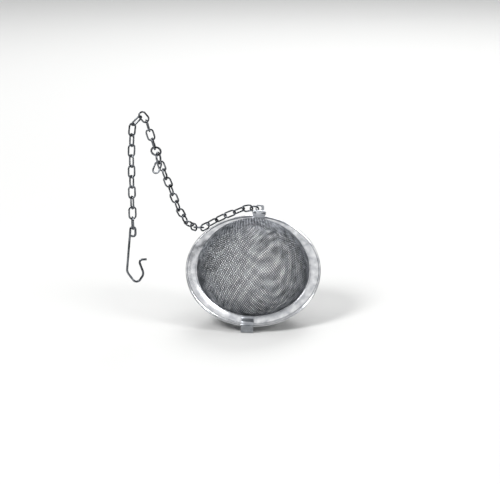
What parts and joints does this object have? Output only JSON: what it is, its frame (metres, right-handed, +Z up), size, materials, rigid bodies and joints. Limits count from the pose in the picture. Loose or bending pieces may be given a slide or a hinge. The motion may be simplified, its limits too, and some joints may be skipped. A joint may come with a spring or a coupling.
{
  "type": "tea infuser",
  "caption": "Hinged wire-mesh ball tea infuser with flanged rims and a clip, on a fine link chain that ends in a wire hook for the rim of a cup.",
  "frame": {"origin": "on the surface that the ball lies on, in line with the middle of the glass that the chain is draped over, 2.5 mm to the left of the ball's centre and 10 mm in front of it", "axes": "+Z up, +X to the right seen from the front, +Y away from the front, towards the hinge"},
  "size_m": [0.078, 0.0506, 0.0886],
  "materials": {
    "woven_mesh": "fine woven stainless wire cloth",
    "polished_steel": "pressed and polished stainless sheet",
    "chain_wire": "bright drawn stainless wire"
  },
  "bodies": {
    "lower_half": {"lower_mesh_bowl": "woven_mesh", "lower_rim": "polished_steel", "lower_hinge_leaf": "polished_steel", "hinge_pin": "polished_steel", "latch_catch": "polished_steel"},
    "upper_half": {"upper_mesh_bowl": "woven_mesh", "upper_rim": "polished_steel", "upper_hinge_leaf": "polished_steel", "latch_clip": "polished_steel"},
    "lug_ring": {"lug_ring": "chain_wire"},
    "chain_link_01": {"chain_link_01": "chain_wire"},
    "chain_link_02": {"chain_link_02": "chain_wire"},
    "chain_link_03": {"chain_link_03": "chain_wire"},
    "chain_link_04": {"chain_link_04": "chain_wire"},
    "chain_link_05": {"chain_link_05": "chain_wire"},
    "chain_link_06": {"chain_link_06": "chain_wire"},
    "chain_link_07": {"chain_link_07": "chain_wire"},
    "chain_link_08": {"chain_link_08": "chain_wire"},
    "chain_link_09": {"chain_link_09": "chain_wire"},
    "chain_link_10": {"chain_link_10": "chain_wire"},
    "chain_link_11": {"chain_link_11": "chain_wire"},
    "chain_link_12": {"chain_link_12": "chain_wire"},
    "chain_link_13": {"chain_link_13": "chain_wire"},
    "chain_link_14": {"chain_link_14": "chain_wire"},
    "chain_link_15": {"chain_link_15": "chain_wire"},
    "chain_link_16": {"chain_link_16": "chain_wire"},
    "chain_link_17": {"chain_link_17": "chain_wire"},
    "lower_join_ring": {"lower_join_ring": "chain_wire"},
    "upper_join_ring": {"upper_join_ring": "chain_wire"},
    "chain_link_18": {"chain_link_18": "chain_wire"},
    "chain_link_19": {"chain_link_19": "chain_wire"},
    "chain_link_20": {"chain_link_20": "chain_wire"},
    "chain_link_21": {"chain_link_21": "chain_wire"},
    "chain_link_22": {"chain_link_22": "chain_wire"},
    "chain_link_23": {"chain_link_23": "chain_wire"},
    "chain_link_24": {"chain_link_24": "chain_wire"},
    "chain_link_25": {"chain_link_25": "chain_wire"},
    "chain_link_26": {"chain_link_26": "chain_wire"},
    "chain_link_27": {"chain_link_27": "chain_wire"},
    "chain_link_28": {"chain_link_28": "chain_wire"},
    "chain_link_29": {"chain_link_29": "chain_wire"},
    "chain_link_30": {"chain_link_30": "chain_wire"},
    "chain_link_31": {"chain_link_31": "chain_wire"},
    "chain_link_32": {"chain_link_32": "chain_wire"},
    "hook": {"hook": "chain_wire"},
    "spare_link": {"spare_link": "chain_wire"}
  },
  "joints": [
    {"name": "lid_hinge", "type": "hinge", "parent": "lower_half", "child": "upper_half", "pos_m": [0.00505, 0.03236, 0.0393], "axis": [-0.9962, 0.0668, 0.056], "range_deg": [0, 115]},
    {"name": "lug_ring_swing", "type": "hinge", "parent": "lower_half", "child": "lug_ring", "pos_m": [0.00466, 0.03579, 0.04065], "axis": [0, -0.6428, 0.766], "range_deg": [-30, 0]},
    {"name": "chain_link_01_swing", "type": "hinge", "parent": "lug_ring", "child": "chain_link_01", "pos_m": [0.00151, 0.03601, 0.04082], "axis": [0.4247, -0.6099, 0.6691], "range_deg": [-30, 0]},
    {"name": "chain_link_02_swing", "type": "hinge", "parent": "chain_link_01", "child": "chain_link_02", "pos_m": [-0.00186, 0.03359, 0.04075], "axis": [0.356, -0.567, -0.7428], "range_deg": [-30, 30]},
    {"name": "chain_link_03_swing", "type": "hinge", "parent": "chain_link_02", "child": "chain_link_03", "pos_m": [-0.00572, 0.033, 0.03939], "axis": [0.0011, 0.7046, -0.7096], "range_deg": [0, 30]},
    {"name": "chain_link_04_swing", "type": "hinge", "parent": "chain_link_03", "child": "chain_link_04", "pos_m": [-0.00942, 0.03167, 0.03807], "axis": [-0.47, 0.7117, 0.5221], "range_deg": [-30, 30]},
    {"name": "chain_link_05_swing", "type": "hinge", "parent": "chain_link_04", "child": "chain_link_05", "pos_m": [-0.01307, 0.0303, 0.03666], "axis": [-0.1176, -0.5165, 0.8481], "range_deg": [-30, 6]},
    {"name": "chain_link_06_swing", "type": "hinge", "parent": "chain_link_05", "child": "chain_link_06", "pos_m": [-0.01627, 0.02828, 0.03503], "axis": [0.7238, -0.6714, -0.1594], "range_deg": [-30, 15]},
    {"name": "chain_link_07_swing", "type": "hinge", "parent": "chain_link_06", "child": "chain_link_07", "pos_m": [-0.01912, 0.02538, 0.03474], "axis": [-0.1626, -0.1215, -0.9792], "range_deg": [-30, 30]},
    {"name": "chain_link_08_swing", "type": "hinge", "parent": "chain_link_07", "child": "chain_link_08", "pos_m": [-0.02116, 0.02185, 0.03552], "axis": [-0.8827, 0.4678, -0.0447], "range_deg": [-30, 30]},
    {"name": "chain_link_09_swing", "type": "hinge", "parent": "chain_link_08", "child": "chain_link_09", "pos_m": [-0.02302, 0.01857, 0.03721], "axis": [0.1025, 0.5457, 0.8317], "range_deg": [-30, 30]},
    {"name": "chain_link_10_swing", "type": "hinge", "parent": "chain_link_09", "child": "chain_link_10", "pos_m": [-0.02473, 0.01552, 0.03944], "axis": [0.9307, -0.2853, 0.229], "range_deg": [-30, 30]},
    {"name": "chain_link_11_swing", "type": "hinge", "parent": "chain_link_10", "child": "chain_link_11", "pos_m": [-0.02621, 0.01316, 0.04251], "axis": [-0.1085, -0.8131, -0.5719], "range_deg": [-30, 30]},
    {"name": "chain_link_12_swing", "type": "hinge", "parent": "chain_link_11", "child": "chain_link_12", "pos_m": [-0.02758, 0.01103, 0.04579], "axis": [-0.9475, 0.2587, -0.188], "range_deg": [-30, 30]},
    {"name": "chain_link_13_swing", "type": "hinge", "parent": "chain_link_12", "child": "chain_link_13", "pos_m": [-0.02878, 0.00919, 0.04931], "axis": [0.1454, 0.8721, 0.4672], "range_deg": [-30, 30]},
    {"name": "chain_link_14_swing", "type": "hinge", "parent": "chain_link_13", "child": "chain_link_14", "pos_m": [-0.02995, 0.00747, 0.0529], "axis": [0.95, -0.2549, 0.1802], "range_deg": [-30, 30]},
    {"name": "chain_link_15_swing", "type": "hinge", "parent": "chain_link_14", "child": "chain_link_15", "pos_m": [-0.0311, 0.00575, 0.0565], "axis": [-0.1503, -0.8794, -0.4517], "range_deg": [-30, 30]},
    {"name": "chain_link_16_swing", "type": "hinge", "parent": "chain_link_15", "child": "chain_link_16", "pos_m": [-0.03227, 0.00409, 0.06012], "axis": [-0.9477, 0.2583, -0.1876], "range_deg": [-30, 30]},
    {"name": "chain_link_17_swing", "type": "hinge", "parent": "chain_link_16", "child": "chain_link_17", "pos_m": [-0.03343, 0.00244, 0.06374], "axis": [0.1523, 0.8823, 0.4453], "range_deg": [-30, 30]},
    {"name": "lower_join_ring_swing", "type": "hinge", "parent": "chain_link_17", "child": "lower_join_ring", "pos_m": [-0.03459, 0.00081, 0.06738], "axis": [0.9485, -0.2571, 0.1849], "range_deg": [-30, 30]},
    {"name": "upper_join_ring_swing", "type": "hinge", "parent": "lower_join_ring", "child": "upper_join_ring", "pos_m": [-0.0356, -0.0005, 0.07069], "axis": [-0.1697, -0.9056, -0.3887], "range_deg": [-30, 30]},
    {"name": "chain_link_18_swing", "type": "hinge", "parent": "upper_join_ring", "child": "chain_link_18", "pos_m": [-0.03636, -0.00151, 0.07336], "axis": [-0.9512, 0.2537, -0.1757], "range_deg": [-30, 30]},
    {"name": "chain_link_19_swing", "type": "hinge", "parent": "chain_link_18", "child": "chain_link_19", "pos_m": [-0.03742, -0.00287, 0.07707], "axis": [0.0294, 0.9472, 0.3192], "range_deg": [-30, 30]},
    {"name": "chain_link_20_swing", "type": "hinge", "parent": "chain_link_19", "child": "chain_link_20", "pos_m": [-0.03839, -0.00413, 0.08091], "axis": [0.9698, 0.0549, 0.2377], "range_deg": [-30, 30]},
    {"name": "chain_link_21_swing", "type": "hinge", "parent": "chain_link_20", "child": "chain_link_21", "pos_m": [-0.03927, -0.00526, 0.0848], "axis": [0.2744, -0.9291, -0.2479], "range_deg": [-30, 24]},
    {"name": "chain_link_22_swing", "type": "hinge", "parent": "chain_link_21", "child": "chain_link_22", "pos_m": [-0.04175, -0.00654, 0.08601], "axis": [0.5817, 0.3735, -0.7226], "range_deg": [-30, 30]},
    {"name": "chain_link_23_swing", "type": "hinge", "parent": "chain_link_22", "child": "chain_link_23", "pos_m": [-0.0445, -0.00774, 0.08318], "axis": [-0.5617, 0.827, -0.0247], "range_deg": [-24, 30]},
    {"name": "chain_link_24_swing", "type": "hinge", "parent": "chain_link_23", "child": "chain_link_24", "pos_m": [-0.0448, -0.00807, 0.07906], "axis": [-0.8273, -0.5611, 0.0262], "range_deg": [-30, 30]},
    {"name": "chain_link_25_swing", "type": "hinge", "parent": "chain_link_24", "child": "chain_link_25", "pos_m": [-0.04499, -0.00799, 0.07491], "axis": [0.5611, -0.8277, -0.0103], "range_deg": [-30, 30]},
    {"name": "chain_link_26_swing", "type": "hinge", "parent": "chain_link_25", "child": "chain_link_26", "pos_m": [-0.0451, -0.00802, 0.07077], "axis": [0.8277, 0.5611, -0.0054], "range_deg": [-30, 30]},
    {"name": "chain_link_27_swing", "type": "hinge", "parent": "chain_link_26", "child": "chain_link_27", "pos_m": [-0.04514, -0.008, 0.06662], "axis": [-0.5611, 0.8277, 0.0028], "range_deg": [-30, 30]},
    {"name": "chain_link_28_swing", "type": "hinge", "parent": "chain_link_27", "child": "chain_link_28", "pos_m": [-0.04517, -0.008, 0.06247], "axis": [-0.8277, -0.5611, -0.0023], "range_deg": [-30, 30]},
    {"name": "chain_link_29_swing", "type": "hinge", "parent": "chain_link_28", "child": "chain_link_29", "pos_m": [-0.04516, -0.008, 0.05832], "axis": [0.5611, -0.8277, 0.0047], "range_deg": [-30, 30]},
    {"name": "chain_link_30_swing", "type": "hinge", "parent": "chain_link_29", "child": "chain_link_30", "pos_m": [-0.04513, -0.008, 0.05417], "axis": [0.8735, 0.4868, 0.0077], "range_deg": [-30, 30]},
    {"name": "chain_link_31_swing", "type": "hinge", "parent": "chain_link_30", "child": "chain_link_31", "pos_m": [-0.04509, -0.008, 0.05002], "axis": [-0.4088, 0.9126, -0.0039], "range_deg": [-30, 30]},
    {"name": "chain_link_32_swing", "type": "hinge", "parent": "chain_link_31", "child": "chain_link_32", "pos_m": [-0.04506, -0.008, 0.04587], "axis": [-0.9447, -0.3278, -0.0093], "range_deg": [-30, 30]},
    {"name": "hook_swing", "type": "hinge", "parent": "chain_link_32", "child": "hook", "pos_m": [-0.04502, -0.008, 0.04172], "axis": [0.2442, -0.9697, 0], "range_deg": [-30, 30]},
    {"name": "spare_link_swing", "type": "hinge", "parent": "lower_join_ring", "child": "spare_link", "pos_m": [-0.03492, -0.00086, 0.06671], "axis": [0.3147, 0.83, -0.4605], "range_deg": [-30, 30]}
  ]
}
